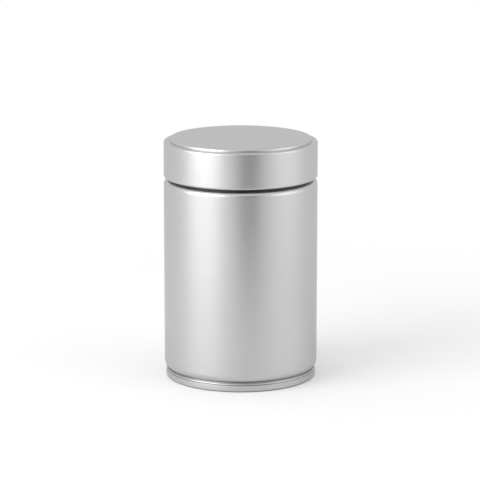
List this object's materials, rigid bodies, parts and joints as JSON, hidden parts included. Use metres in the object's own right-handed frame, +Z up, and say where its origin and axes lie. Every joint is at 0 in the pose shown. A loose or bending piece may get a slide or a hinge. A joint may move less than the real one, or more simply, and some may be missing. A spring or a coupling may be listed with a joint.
{
  "type": "round slip-lid tin",
  "caption": "Upright round storage tin in satin silver tinplate, with a flush slip-on lid that has a raised top panel, a rounded shoulder and a double-seamed base.",
  "frame": {"origin": "middle of the base, on the surface that the tin stands on", "axes": "+Z up the tin's axis towards the lid, +Y towards the welded side joint at the back, +X to the right as seen from the front"},
  "size_m": [0.068, 0.0681, 0.1074],
  "materials": {
    "body_tinplate": "satin tinplate, fine grain, clear lacquer",
    "base_tinplate": "satin tinplate, fine grain, clear lacquer",
    "lid_tinplate": "satin tinplate, fine grain, clear lacquer",
    "compound": "matt cured sealing compound"
  },
  "bodies": {
    "tin": {"body_wall": "body_tinplate", "base_end": "base_tinplate", "seam_compound": "compound"},
    "lid": {"lid_cap": "lid_tinplate"}
  },
  "joints": [
    {"name": "lid_lift", "type": "slide", "parent": "tin", "child": "lid", "axis": [0, 0, 1], "range_m": [0, 0.1]}
  ]
}
